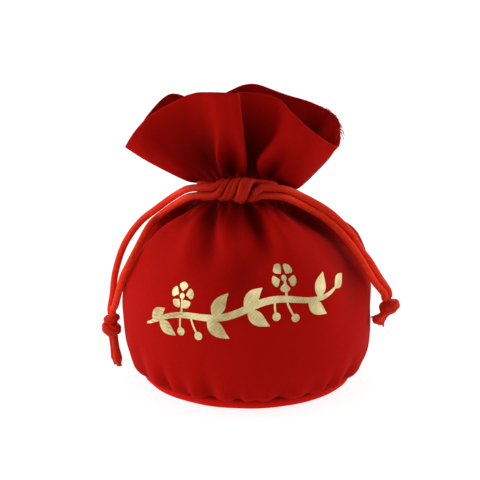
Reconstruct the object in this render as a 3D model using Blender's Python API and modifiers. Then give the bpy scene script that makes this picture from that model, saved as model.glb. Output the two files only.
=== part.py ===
"""Drawstring gift pouch: a filled cloth pouch, drawn in at the neck by two cords.

Metres, +Z up. The origin is the centre of the round base, on the surface
that the pouch stands on, and the front, with the knot, faces -Y.
"""

import math

import bmesh
import bpy
import numpy as np
from mathutils import Matrix, Vector

# Base: a card disc in a shallow cloth tray.
BASE_RADIUS = 0.0331
BASE_EDGE_OUT = 0.0026
BASE_EDGE_HEIGHT = 0.0026
BASE_CLOTH = 0.0008
BOARD_THICKNESS = 0.0012
GAP = 0.0003

# Wall: two cloth panels, sewn at the sides, belly and shoulder above the base.
CLOTH = 0.0008
BELLY_RADIUS = 0.0421
BELLY_LOW = 0.019
BELLY_HIGH = 0.032
SHOULDER_RADIUS = 0.0285
SHOULDER_HEIGHT = 0.057
SEAM_GAP = 0.0003
PLEATS = 12
PLEAT_DEPTH = 0.0012
WALL_STEPS = 84
# The wall's main folds are valleys that run down from the neck. Each has its place in degrees
# round the wall, -90 being the front, at the neck and at its foot, the height of its foot,
# its depth and half its width.
FOLDS = (
    (-94, -77, 0.0490, 0.0030, 0.0025),
    (-129, -115, 0.0430, 0.0028, 0.0032),
    (-146, -172, 0.0440, 0.0024, 0.0030),
    (-62, -10, 0.0380, 0.0034, 0.0044),
    (-24, 12, 0.0420, 0.0020, 0.0032),
    (20, 28, 0.0440, 0.0022, 0.0030),
    (46, 50, 0.0390, 0.0026, 0.0036),
    (74, 71, 0.0450, 0.0022, 0.0028),
    (98, 96, 0.0380, 0.0026, 0.0036),
    (122, 125, 0.0460, 0.0022, 0.0028),
    (146, 149, 0.0400, 0.0025, 0.0034),
    (172, 173, 0.0440, 0.0020, 0.0030),
)

# Neck: the gathered channel that the cords run in. It lies higher at the front and back.
CHANNEL_HEIGHT = 0.0685
CHANNEL_BELOW = 0.0031
CHANNEL_ABOVE = 0.0040
NECK_WIDTH = 0.0308
NECK_DEPTH = 0.0268
NECK_DIP = 0.0012
FACING_CLOTH = 0.0006
FACING_FLARE = 0.0022

# Ruffle above the neck: each column of its cage has its place at the neck in degrees,
# then the points a third and two thirds of the way up, and on the lip.
RUFFLE_CLOTH = 0.0009
RUFFLE_SEAM_GAP = 0.0012
RUFFLE_STEPS = 3
RUFFLE_FRONT = (
    (180, (-0.0239, -0.0030, 0.0716), (-0.0324, -0.0026, 0.0756), (-0.0409, 0.0000, 0.0803)),
    (202, (-0.0229, -0.0056, 0.0739), (-0.0330, -0.0046, 0.0807), (-0.0375, -0.0050, 0.0863)),
    (217, (-0.0195, -0.0064, 0.0764), (-0.0270, -0.0056, 0.0845), (-0.0314, -0.0090, 0.0928)),
    (227, (-0.0154, -0.0080, 0.0780), (-0.0195, -0.0072, 0.0867), (-0.0229, -0.0120, 0.0982)),
    (235, (-0.0118, -0.0102, 0.0786), (-0.0138, -0.0098, 0.0882), (-0.0150, -0.0132, 0.1006)),
    (245, (-0.0092, -0.0132, 0.0798), (-0.0094, -0.0136, 0.0887), (-0.0100, -0.0146, 0.1014)),
    (263, (-0.0018, -0.0148, 0.0803), (-0.0022, -0.0152, 0.0893), (-0.0032, -0.0156, 0.1012)),
    (270, (0.0000, -0.0118, 0.0789), (-0.0006, -0.0116, 0.0876), (-0.0016, -0.0130, 0.1006)),
    (277, (0.0020, -0.0098, 0.0783), (0.0034, -0.0086, 0.0867), (0.0042, -0.0108, 0.1000)),
    (284, (0.0038, -0.0112, 0.0778), (0.0072, -0.0096, 0.0856), (0.0088, -0.0104, 0.0985)),
    (292, (0.0056, -0.0138, 0.0780), (0.0104, -0.0128, 0.0870), (0.0124, -0.0108, 0.0967)),
    (305, (0.0096, -0.0126, 0.0756), (0.0145, -0.0136, 0.0843), (0.0179, -0.0112, 0.0908)),
    (322, (0.0152, -0.0112, 0.0744), (0.0200, -0.0116, 0.0802), (0.0240, -0.0088, 0.0857)),
    (340, (0.0196, -0.0070, 0.0728), (0.0254, -0.0062, 0.0772), (0.0302, -0.0040, 0.0816)),
    (360, (0.0220, -0.0010, 0.0724), (0.0281, 0.0004, 0.0775), (0.0312, 0.0012, 0.0849)),
)
# The back is pleated evenly, so its columns follow from their points on the lip.
RUFFLE_BACK_LIP = (
    (0.0308, 0.0052, 0.0880),
    (0.0281, 0.0080, 0.0907),
    (0.0210, 0.0108, 0.0934),
    (0.0128, 0.0128, 0.0958),
    (0.0036, 0.0140, 0.0987),
    (-0.0015, 0.0140, 0.0985),
    (-0.0076, 0.0130, 0.0960),
    (-0.0137, 0.0116, 0.0939),
    (-0.0185, 0.0108, 0.0939),
    (-0.0246, 0.0100, 0.0961),
    (-0.0280, 0.0086, 0.0962),
    (-0.0338, 0.0058, 0.0904),
    (-0.0378, 0.0028, 0.0840),
)
RUFFLE_BACK_PLEAT = 0.0014

# Cords: two lengths of twisted satin cord, side by side.
CORD = 0.0023
CORD_GAP = 0.0003
TWIST_RADIUS = 0.0031
TWIST_END_RADIUS = 0.0025
TWIST_LENGTH = 0.0220
TWIST_CENTRE = (-0.0037, -0.0192, 0.0704)
TWIST_TURNS = 1.5
TWIST_TIGHTER = 0.12
LEFT_EXIT = (-0.0122, -0.0088, 8)
RIGHT_EXIT = (0.0088, -0.0098, -23)
EXIT_WIDTH = 0.0040
EXIT_LENGTH = 0.0080
EXIT_HEIGHT = 0.0062

# The cord ends: both strands of a side go over the shoulder together, then down to a stop knot.
LEFT_SHOULDER = (-0.0300, -0.0034, 0.0587)
RIGHT_SHOULDER = (0.0262, -0.0108, 0.0598)
LEFT_ROUTE = ((-0.0184, -0.0166, 0.0690), (-0.0234, -0.0072, 0.0644), LEFT_SHOULDER)
LEFT_OUTER = (
    (-0.0366, -0.0010, 0.0543),
    (-0.0419, 0.0005, 0.0462),
    (-0.0451, 0.0008, 0.0366),
    (-0.0463, 0.0016, 0.0280),
)
LEFT_INNER = (
    (-0.0330, -0.0073, 0.0547),
    (-0.0372, -0.0115, 0.0475),
    (-0.0396, -0.0124, 0.0430),
    (-0.0418, -0.0098, 0.0380),
    (-0.0437, -0.0053, 0.0310),
    (-0.0453, -0.0016, 0.0250),
)
RIGHT_ROUTE = ((0.0112, -0.0172, 0.0690), (0.0170, -0.0122, 0.0655), RIGHT_SHOULDER)
RIGHT_OUTER = (
    (0.0339, -0.0114, 0.0541),
    (0.0372, -0.0119, 0.0488),
    (0.0409, -0.0113, 0.0437),
    (0.0446, -0.0088, 0.0372),
)
RIGHT_INNER = (
    (0.0321, -0.0139, 0.0530),
    (0.0359, -0.0146, 0.0481),
    (0.0391, -0.0139, 0.0430),
    (0.0427, -0.0105, 0.0364),
)

# Stop knots. A pair of strands enters each, turned by an angle from the outward direction.
KNOT_WIDTH = 0.0071
KNOT_HEIGHT = 0.0074
KNOT_GAP = 0.0005
LEFT_KNOT = (-0.0469, 0.0010, 0.0172)
RIGHT_KNOT = (0.0483, -0.0080, 0.0263)
LEFT_LEAN = 2
RIGHT_LEAN = -15
LEFT_PAIR = 70
RIGHT_PAIR = 50
LEFT_TAIL = 0.0106
LEFT_TAIL_SPLAY = (-12, -14)
RIGHT_TAIL = 0.0044
RIGHT_TAIL_SPLAY = (-38, -46)

ROUND_STEPS = 72
RED_CLOTH = (0.33, 0.006, 0.008)
RED_LINING = (0.24, 0.005, 0.007)
RED_CORD = (0.72, 0.035, 0.012)
CARD = (0.60, 0.52, 0.40)


def clearScene():
    for obj in list(bpy.data.objects):
        bpy.data.objects.remove(obj, do_unlink=True)


def collection(name):
    found = bpy.data.collections.new(name)
    bpy.context.scene.collection.children.link(found)
    return found


def material(name, colour, roughness, metallic=0.0):
    made = bpy.data.materials.new(name)
    made.use_nodes = True
    shader = made.node_tree.nodes["Principled BSDF"]
    shader.inputs["Base Color"].default_value = (*colour, 1.0)
    shader.inputs["Roughness"].default_value = roughness
    shader.inputs["Metallic"].default_value = metallic
    return made


def newObject(name, data, colour, roughness, parent=None, origin=(0, 0, 0)):
    """Links the data as an object whose origin lies at the given point of the part."""
    obj = bpy.data.objects.new(name, data)
    obj.location = Vector(origin) - (parent.location if parent else Vector())
    obj.parent = parent
    data.materials.append(material(name, colour, roughness))
    parts.objects.link(obj)
    return obj


def pivot(name, place):
    empty = bpy.data.objects.new(name, None)
    empty.location = place
    empty.empty_display_size = 0.005
    parts.objects.link(empty)
    return empty


def meshOf(name, points, faces, origin=(0, 0, 0)):
    mesh = bpy.data.meshes.new(name)
    shifted = np.asarray(points, float).reshape(-1, 3) - np.asarray(origin, float)
    mesh.from_pydata(shifted.tolist(), [], [tuple(face) for face in faces])
    mesh.update()
    mesh.shade_smooth()
    return mesh


def smooth(low, high, value):
    t = np.clip((np.asarray(value, float) - low) / (high - low), 0.0, 1.0)
    return t * t * (3 - 2 * t)


def through(points, counts, closed=False):
    """A Catmull-Rom curve through the points, with counts steps to each span."""
    points = np.asarray(points, float)
    n = len(points)
    if closed:
        keys = np.concatenate([points[-1:], points, points[:2]])
        spans = n
    else:
        keys = np.concatenate([2 * points[:1] - points[1:2], points, 2 * points[-1:] - points[-2:-1]])
        spans = n - 1
    found = []
    for i in range(spans):
        a, b, c, d = keys[i : i + 4]
        for step in range(counts):
            t = step / counts
            bend = (2 * a - 5 * b + 4 * c - d) * t**2 + (3 * b - a - 3 * c + d) * t**3
            found.append(0.5 * (2 * b + (c - a) * t + bend))
    if not closed:
        found.append(points[-1])
    return np.array(found)


def evenly(points, spacing):
    """The same line with its points an equal distance apart, and one more just inside each end."""
    points = np.asarray(points, float)
    along = np.concatenate([[0], np.cumsum(np.linalg.norm(np.diff(points, axis=0), axis=1))])
    count = max(2, int(round(along[-1] / spacing)) + 1)
    places = np.linspace(0, along[-1], count)
    near = spacing * 0.15
    places = np.concatenate([places[:1], places[:1] + near, places[1:-1], places[-1:] - near, places[-1:]])
    return np.stack([np.interp(places, along, points[:, k]) for k in range(3)], 1)


# ---------------------------------------------------------------- base


def turned(name, profile, colour, roughness):
    """A closed outline in X and Z, run round the Z axis."""
    mesh = bpy.data.meshes.new(name)
    points = [(x, 0.0, z) for x, z in profile]
    onAxis = profile[0][0] == 0
    edges = [(i, i + 1) for i in range(len(points) - 1)]
    if not onAxis:
        edges.append((len(points) - 1, 0))
    mesh.from_pydata(points, edges, [])
    obj = newObject(name, mesh, colour, roughness)
    screw = obj.modifiers.new("turn", "SCREW")
    screw.steps = ROUND_STEPS
    screw.render_steps = ROUND_STEPS
    screw.use_merge_vertices = True
    screw.merge_threshold = 1e-6
    screw.use_smooth_shade = False
    return obj


def makeBase():
    outer = BASE_RADIUS + BASE_EDGE_OUT
    inner = outer - BASE_CLOTH
    rim = []
    for step in range(6):
        angle = math.radians(-90 + 18 * step)
        rim.append(
            (BASE_RADIUS + BASE_EDGE_OUT * math.cos(angle), BASE_EDGE_HEIGHT * (1 + math.sin(angle)))
        )
    inside = [(x - BASE_CLOTH * (x - BASE_RADIUS) / BASE_EDGE_OUT, max(z, BASE_CLOTH)) for x, z in rim]
    profile = [(0.0, BASE_CLOTH)]
    profile += [point for point in inside if point[1] > BASE_CLOTH][:-1]
    profile += [(inner, BASE_EDGE_HEIGHT), (outer, BASE_EDGE_HEIGHT)]
    profile += rim[-2::-1]
    profile.append((0.0, 0.0))
    turned("base_cover", profile, RED_CLOTH, 0.6)
    low = BASE_CLOTH + GAP
    board = BASE_RADIUS
    turned(
        "base_board",
        [(0.0, low + BOARD_THICKNESS), (board, low + BOARD_THICKNESS), (board, low), (0.0, low)],
        CARD,
        0.85,
    )


# ---------------------------------------------------------------- wall

WALL_FOOT = BASE_EDGE_HEIGHT + GAP
NECK_LOW = CHANNEL_HEIGHT - CHANNEL_BELOW
NECK_TOP = CHANNEL_HEIGHT + CHANNEL_ABOVE
WALL_STAGES = ((WALL_FOOT, 4), (BELLY_LOW, 2), (BELLY_HIGH, 4), (SHOULDER_HEIGHT, 3), (NECK_LOW, 2))


def wallHeights():
    """The heights of the wall's rows: each stage from one named height to the next, in even steps."""
    ends = [stage[0] for stage in WALL_STAGES[1:]] + [NECK_TOP]
    rows = [WALL_FOOT]
    for (low, steps), high in zip(WALL_STAGES, ends):
        rows += [low + (high - low) * (step + 1) / steps for step in range(steps)]
    return np.array(rows)


def bodyRadius(height):
    """The wall's outer radius on a section through the axis, before the neck turns oval."""
    neck = NECK_WIDTH / 2
    fall = SHOULDER_HEIGHT - BELLY_HIGH
    rise = NECK_LOW - SHOULDER_HEIGHT
    keys = [
        (WALL_FOOT, (BASE_RADIUS + BASE_EDGE_OUT) * 1.014),
        (0.32 * BELLY_LOW, 0.936 * BELLY_RADIUS),
        (0.68 * BELLY_LOW, 0.983 * BELLY_RADIUS),
        (BELLY_LOW, BELLY_RADIUS),
        (BELLY_HIGH, BELLY_RADIUS),
        (BELLY_HIGH + 0.40 * fall, 0.950 * BELLY_RADIUS),
        (BELLY_HIGH + 0.72 * fall, SHOULDER_RADIUS + 0.50 * (BELLY_RADIUS - SHOULDER_RADIUS)),
        (SHOULDER_HEIGHT, SHOULDER_RADIUS),
        (SHOULDER_HEIGHT + 0.58 * rise, neck + 0.50 * (SHOULDER_RADIUS - neck)),
        (SHOULDER_HEIGHT + 0.90 * rise, neck + 0.13 * (SHOULDER_RADIUS - neck)),
        (CHANNEL_HEIGHT, neck),
        (NECK_TOP, neck),
    ]
    line = through(np.array(keys), 8)
    return np.interp(height, line[:, 0], line[:, 1])


def neckOval(heights):
    """How far the section has turned from round to the neck's oval, 0 to 1."""
    return smooth(SHOULDER_HEIGHT - 0.35 * (SHOULDER_HEIGHT - BELLY_HIGH), NECK_LOW, heights)


def neckDip(angle):
    """The neck's line: up at the front and back, down at the seams."""
    return -NECK_DIP * np.cos(2 * angle)


def foldDepth(angle, height, radius):
    """Each fold: depth * exp(-(distance / half width)^2), faded in at the neck and out at its foot."""
    total = 0.0 * angle
    for top, foot, low, depth, wide in FOLDS:
        share = np.clip((NECK_LOW - height) / (NECK_LOW - low), 0.0, 1.0)
        centre = np.radians(foot + (top - foot) * (1 - share) ** 3)
        turn = np.mod(angle - centre + math.pi, 2 * math.pi) - math.pi
        away = turn * radius / (wide * (0.6 + share))
        fade = smooth(0.0, 0.25, share) * (1 - smooth(0.35, 1.0, share))
        total = total + depth * fade * np.exp(-(away**2))
    return total


def wallPoint(angle, height):
    """The wall's outer face: radius = body * oval + depth * cos(PLEATS * angle) - folds."""
    radius = bodyRadius(height)
    squash = 1 - neckOval(height) * (1 - NECK_DEPTH / NECK_WIDTH)
    pleat = PLEAT_DEPTH * smooth(SHOULDER_HEIGHT, NECK_LOW, height) * np.cos(PLEATS * angle)
    fold = foldDepth(angle, height, radius)
    x = (radius + pleat - fold) * np.cos(angle)
    y = (radius * squash + pleat - fold) * np.sin(angle)
    z = height + neckDip(angle) * smooth(BELLY_HIGH + 0.8 * (SHOULDER_HEIGHT - BELLY_HIGH), NECK_LOW, height)
    return np.stack([x, y, z + 0 * x], -1)


def inward(grid, thickness):
    """The grid, closed round its columns, moved along its own normals by the cloth's thickness."""
    along = np.gradient(grid, axis=0)
    around = np.roll(grid, -1, axis=1) - np.roll(grid, 1, axis=1)
    normal = np.cross(around, along)
    normal /= np.linalg.norm(normal, axis=-1)[..., None]
    normal = normal / 2 + (np.roll(normal, 1, axis=1) + np.roll(normal, -1, axis=1)) / 4
    return grid - thickness * normal / np.linalg.norm(normal, axis=-1)[..., None]


def halfShell(name, outer, inner, side, seamGap, parent=None, origin=(0, 0, 0)):
    """One half of a closed cloth loft as a shell. Column 0 is the left seam; side is +1 for the back."""
    half = outer.shape[1] // 2
    picked = np.arange(half, 2 * half + 1) % (2 * half) if side > 0 else np.arange(half + 1)
    grids = []
    for grid in (outer, inner):
        grid = grid[:, picked].copy()
        for edge, beside in ((0, 1), (-1, -2)):
            step = grid[:, beside] - grid[:, edge]
            grid[:, edge] += step * (seamGap / 2 / np.linalg.norm(step, axis=1))[:, None]
        grids.append(grid)
    rows, columns = grids[0].shape[:2]
    count = rows * columns
    faces = []
    for i in range(rows - 1):
        for j in range(columns - 1):
            a = i * columns + j
            faces.append((a, a + 1, a + columns + 1, a + columns))
            faces.append((count + a, count + a + columns, count + a + columns + 1, count + a + 1))
    border = [j for j in range(columns)]
    border += [i * columns + columns - 1 for i in range(1, rows)]
    border += [(rows - 1) * columns + j for j in range(columns - 2, -1, -1)]
    border += [i * columns for i in range(rows - 2, 0, -1)]
    for a, b in zip(border, border[1:] + border[:1]):
        faces.append((b, a, count + a, count + b))
    mesh = meshOf(name, np.concatenate([g.reshape(-1, 3) for g in grids]), faces, origin)
    return newObject(name, mesh, RED_CLOTH, 0.6, parent, origin)


def makeWall():
    angles = math.pi + np.linspace(0, 2 * math.pi, WALL_STEPS, endpoint=False)[None, :]
    heights = wallHeights()[:, None]
    outer = wallPoint(angles, heights + 0 * angles)
    inner = inward(outer, CLOTH)
    for row in (0, -1):
        inner[row, :, 2] = outer[row, :, 2]
    back = halfShell("wall_back", outer, inner, 1, SEAM_GAP)
    front = halfShell("wall_front", outer, inner, -1, SEAM_GAP)
    return front, back


def exitHeight(place):
    """The channel's height where a cord comes out."""
    return CHANNEL_HEIGHT + neckDip(math.atan2(place[1] / NECK_DEPTH, place[0] / NECK_WIDTH))


def cutExits(wall):
    """The two openings in the channel, behind the knot, where the cords come out."""
    for index, place in enumerate((LEFT_EXIT, RIGHT_EXIT)):
        mesh = bpy.data.meshes.new(f"exit_cut_{index}")
        shape = bmesh.new()
        bmesh.ops.create_cube(shape, size=1.0)
        bmesh.ops.scale(shape, vec=(EXIT_WIDTH, EXIT_LENGTH, EXIT_HEIGHT), verts=shape.verts)
        shape.to_mesh(mesh)
        shape.free()
        cutter = bpy.data.objects.new(mesh.name, mesh)
        cutter.location = (place[0], place[1], exitHeight(place))
        cutter.rotation_euler = (0.0, 0.0, math.radians(place[2]))
        cutter.hide_render = True
        cutter.display_type = "WIRE"
        cutters.objects.link(cutter)
        cut = wall.modifiers.new(mesh.name, "BOOLEAN")
        cut.operation = "DIFFERENCE"
        cut.solver = "EXACT"
        cut.object = cutter


def makeFacing():
    """The turned-in band inside the neck, which closes the channel on the inner side."""
    reach = CORD + 2 * GAP + CLOTH + PLEAT_DEPTH
    profile = ((-1.65, 1.0), (-1.26, 0.4), (-0.80, 0.0), (0.0, 0.0), (0.62, 0.0), (0.83, 0.4), (1.0, 1.0))
    angles = math.pi + np.linspace(0, 2 * math.pi, ROUND_STEPS // 3, endpoint=False)
    rows = []
    for share, flare in profile:
        height = CHANNEL_HEIGHT + share * (CHANNEL_ABOVE if share > 0 else CHANNEL_BELOW)
        x = (NECK_WIDTH / 2 - reach + flare * FACING_FLARE) * np.cos(angles)
        y = (NECK_DEPTH / 2 - reach + flare * FACING_FLARE) * np.sin(angles)
        rows.append(np.stack([x, y, height + neckDip(angles)], -1))
    grid = np.array(rows)
    columns = grid.shape[1]
    faces = []
    for i in range(len(profile) - 1):
        for j in range(columns):
            a = i * columns + j
            b = i * columns + (j + 1) % columns
            faces.append((a, b, b + columns, a + columns))
    obj = newObject("channel_facing", meshOf("channel_facing", grid, faces), RED_LINING, 0.6)
    shell = obj.modifiers.new("cloth", "SOLIDIFY")
    shell.thickness = FACING_CLOTH
    shell.offset = -1


# ---------------------------------------------------------------- ruffle


def ruffleCage():
    """The ruffle's columns from the left seam round the front to the back: degrees, then three points."""
    columns = [(degrees, np.array(points)) for degrees, *points in RUFFLE_FRONT]
    count = len(RUFFLE_BACK_LIP)
    for index, lip in enumerate(RUFFLE_BACK_LIP):
        turn = math.pi * (index + 1) / (count + 1)
        foot = wallPoint(np.array(turn), np.array(NECK_TOP))
        lip = np.array(lip)
        outward = np.array([0.25 * math.cos(turn), 1.0, 0.0])
        sign = 1 if index % 2 else -1
        points = []
        for rise, spread in ((0.34, 0.40), (0.68, 0.74)):
            swell = RUFFLE_BACK_PLEAT * (0.7 + sign * math.sin(math.pi * rise))
            points.append(foot + (lip - foot) * np.array([spread, spread, rise]) + outward * swell)
        columns.append((360 + math.degrees(turn), np.array(points + [lip])))
    return columns


def ruffleGrid():
    """Foot on the neck's own outline, then up the cage on smooth curves."""
    cage = ruffleCage()
    degrees = np.array([column[0] for column in cage] + [180 + 360], float)
    spots = np.arange(len(cage) * RUFFLE_STEPS) / RUFFLE_STEPS
    angles = np.radians(np.interp(spots, np.arange(len(degrees)), degrees))
    foot = wallPoint(angles, np.full_like(angles, NECK_TOP)) + np.array([0, 0, GAP])
    collar = foot + np.stack([np.cos(angles), np.sin(angles), 2 + 0 * angles], -1) * RUFFLE_CLOTH * 0.7
    rows = [foot, collar]
    for level in range(3):
        ring = np.array([points[level] for _, points in cage])
        rows.append(through(ring, RUFFLE_STEPS, closed=True))
    return through(np.array(rows), 2)


def makeRuffle():
    outer = ruffleGrid()
    inner = inward(outer, RUFFLE_CLOTH)
    inner[0, :, 2] = outer[0, :, 2]
    for name, side in (("ruffle_front", -1), ("ruffle_back", 1)):
        hinge = (0.0, side * (NECK_DEPTH / 2 + PLEAT_DEPTH), NECK_TOP + NECK_DIP + GAP)
        axis = pivot(name + "_axis", hinge)
        halfShell(name, outer, inner, side, RUFFLE_SEAM_GAP, axis, hinge)


# ---------------------------------------------------------------- cords


def tube(name, points, parent=None, origin=(0, 0, 0), diameter=CORD):
    curve = bpy.data.curves.new(name, "CURVE")
    curve.dimensions = "3D"
    curve.bevel_depth = diameter / 2
    curve.bevel_resolution = 2
    curve.use_fill_caps = True
    spline = curve.splines.new("POLY")
    spline.points.add(len(points) - 1)
    for slot, point in zip(spline.points, np.asarray(points) - np.asarray(origin)):
        slot.co = (*point, 1.0)
    return newObject(name, curve, RED_CORD, 0.4, parent, origin)


def twist(phase):
    """One strand of the half-knot, from its left end to its right end.

    It winds round a line along X: angle = phase + turns * (s - k sin(2 pi s) / 2 pi), from the bottom
    to the front, and its radius swells from the ends to the middle with sin(pi s).
    """
    found = []
    for step in range(21):
        s = step / 20
        wound = s - TWIST_TIGHTER * math.sin(2 * math.pi * s) / (2 * math.pi)
        angle = math.radians(phase + 360 * TWIST_TURNS * wound)
        radius = TWIST_END_RADIUS + (TWIST_RADIUS - TWIST_END_RADIUS) * math.sin(math.pi * s)
        found.append(
            (
                TWIST_CENTRE[0] + TWIST_LENGTH * (s - 0.5),
                TWIST_CENTRE[1] - radius * math.sin(angle),
                TWIST_CENTRE[2] - radius * math.cos(angle),
            )
        )
    return found


def channelRun(level):
    """One cord inside the channel, from the right exit round the back to the left exit."""
    wide = NECK_WIDTH / 2 - PLEAT_DEPTH - CLOTH - GAP - CORD / 2
    deep = NECK_DEPTH / 2 - PLEAT_DEPTH - CLOTH - GAP - CORD / 2
    lift = (TWIST_CENTRE[2] - CHANNEL_HEIGHT) / 2 * (0.9 + 1.6 * level / CORD)
    near = TWIST_CENTRE[1] + TWIST_RADIUS + 0.0012
    exit_ = exitHeight(RIGHT_EXIT) + level
    found = [
        (RIGHT_EXIT[0] - 0.0008 + 0.3 * level, near, exit_ + 0.6 * lift),
        (RIGHT_EXIT[0] - 0.0006, RIGHT_EXIT[1] - 0.0014, exit_),
    ]
    for step in range(17):
        angle = math.radians(-33 + 236 * step / 16)
        height = CHANNEL_HEIGHT + neckDip(angle) + level
        found.append((wide * math.cos(angle), deep * math.sin(angle), height))
    exit_ = exitHeight(LEFT_EXIT) + level
    found.append((LEFT_EXIT[0] - 0.0006, LEFT_EXIT[1] - 0.0016, exit_))
    found.append((LEFT_EXIT[0] - 0.0028 - 0.4 * level, near, exit_ + lift))
    return found


def carried(line, start):
    """A direction square to the line at each point, carried along it from the start without turning."""
    slope = np.gradient(line, axis=0)
    slope /= np.linalg.norm(slope, axis=1)[:, None]
    found = []
    side = np.asarray(start, float)
    for step in slope:
        side = side - step * np.dot(side, step)
        side /= np.linalg.norm(side)
        found.append(side)
    return np.array(found)


def knotFrame(side):
    """The stop knot's centre, its axis, and the direction from its inner to its outer strand."""
    knot, lean, pair = (LEFT_KNOT, LEFT_LEAN, LEFT_PAIR) if side < 0 else (RIGHT_KNOT, RIGHT_LEAN, RIGHT_PAIR)
    lean = math.radians(lean)
    pair = math.radians(pair)
    axis = np.array([math.sin(lean), 0.0, math.cos(lean)])
    wide = np.array([axis[2], 0.0, -axis[0]]) * side
    return np.array(knot), axis, wide * math.cos(pair) + np.array([0.0, math.sin(pair), 0.0])


def sideRoute(side, strand):
    """One strand from the half-knot over the shoulder to the stop knot, in two lines that meet there.

    strand is +1 for the upper or outer one, -1 for the lower or inner one.
    """
    reach = TWIST_END_RADIUS * math.sin(math.radians(45))
    spread = (CORD + CORD_GAP) / 2
    start = (TWIST_CENTRE[0] + side * TWIST_LENGTH / 2, TWIST_CENTRE[1] - reach, TWIST_CENTRE[2])
    lead = through([start, *(LEFT_ROUTE if side < 0 else RIGHT_ROUTE)], 8)
    apart = reach + (spread - reach) * smooth(0.0, 0.4, np.linspace(0, 1, len(lead)))
    lead = lead + carried(lead, (0, 0, 1)) * (apart * strand)[:, None]
    own = {(-1, 1): LEFT_OUTER, (-1, -1): LEFT_INNER, (1, 1): RIGHT_OUTER, (1, -1): RIGHT_INNER}[side, strand]
    knot, axis, across = knotFrame(side)
    top = knot + axis * (KNOT_HEIGHT / 2 + KNOT_GAP) + across * spread * strand
    line = through([*lead[::8], *own, top + axis * 0.002, top], 8)
    split = 8 * (len(lead[::8]) - 1)
    return line[: split + 1], line[split:]


def shortened(line, gap):
    """The line without its first stretch of the length gap."""
    step = line[1] - line[0]
    line = line.copy()
    line[0] = line[0] + step / np.linalg.norm(step) * gap
    return line


def makeCords():
    half = (CORD + CORD_GAP) / 2
    # Each cord starts at the left end, winds through the half-knot to the right exit, goes round
    # the back in the channel and winds through the half-knot again to the right end.
    for name, out, back, level, strand in (
        ("drawcord_lower", 135, 315, -half, 1),
        ("drawcord_upper", 45, 225, half, -1),
    ):
        left = sideRoute(-1, strand)[0][::-1]
        right = sideRoute(1, strand)[0]
        knotted = through(twist(out)[1:-1] + channelRun(level) + twist(back)[1:-1], 4)
        route = np.concatenate([left[:-1], knotted, right[1:]])
        tube(name, evenly(route, 1.3 * CORD))


def makeKnot(name, place, lean, parent):
    """A stop knot tied in both strands: a collar over a wider ball."""
    r = KNOT_WIDTH / 2
    h = KNOT_HEIGHT / 2
    profile = (
        (0.0, h),
        (0.60 * r, h),
        (0.76 * r, 0.80 * h),
        (0.78 * r, 0.45 * h),
        (0.70 * r, 0.28 * h),
        (0.90 * r, 0.10 * h),
        (1.00 * r, -0.25 * h),
        (0.92 * r, -0.62 * h),
        (0.62 * r, -0.94 * h),
        (0.0, -h),
    )
    mesh = bpy.data.meshes.new(name)
    mesh.from_pydata([(x, 0.0, z) for x, z in profile], [(i, i + 1) for i in range(len(profile) - 1)], [])
    obj = newObject(name, mesh, RED_CORD, 0.45, parent, place)
    obj.rotation_euler = (0.0, math.radians(lean), 0.0)
    screw = obj.modifiers.new("turn", "SCREW")
    screw.steps = 16
    screw.render_steps = 16
    screw.use_merge_vertices = True
    screw.merge_threshold = 1e-6


def makeEnds():
    half = (CORD + CORD_GAP) / 2
    for side, word in ((-1, "left"), (1, "right")):
        shoulder, lean, tail, splay = (
            (LEFT_SHOULDER, LEFT_LEAN, LEFT_TAIL, LEFT_TAIL_SPLAY)
            if side < 0
            else (RIGHT_SHOULDER, RIGHT_LEAN, RIGHT_TAIL, RIGHT_TAIL_SPLAY)
        )
        knot, up, across = knotFrame(side)
        wide = np.array([up[2], 0.0, -up[0]]) * side
        axis = pivot(f"{word}_end_axis", shoulder)
        drop = pivot(f"{word}_knot_slide", knot)
        for strand, place in ((1, "outer"), (-1, "inner")):
            line = shortened(sideRoute(side, strand)[1], 2 * CORD_GAP)
            tube(f"{word}_{place}_strand", evenly(line, 2.2 * CORD), axis, shoulder)
            turn = math.radians(splay[0] if strand > 0 else splay[1])
            heading = -up * math.cos(turn) + wide * math.sin(turn)
            beside = across * strand * half
            foot = knot + beside + heading * (KNOT_HEIGHT / 2 + KNOT_GAP - np.dot(beside, heading))
            spots = [foot + heading * tail * t for t in (0.0, 0.33, 0.67, 1.0)]
            tube(f"{word}_{place}_tail", spots, drop, knot)
        makeKnot(f"{word}_stop_knot", knot, lean, drop)


clearScene()
parts = collection("drawstring_gift_pouch")
cutters = collection("cutters")
makeBase()
front, back = makeWall()
cutExits(front)
makeFacing()
makeRuffle()
makeCords()
makeEnds()
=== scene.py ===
# Drawstring gift pouch: cloth, cords and foil over the solid model, seen from the front
import math

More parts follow.
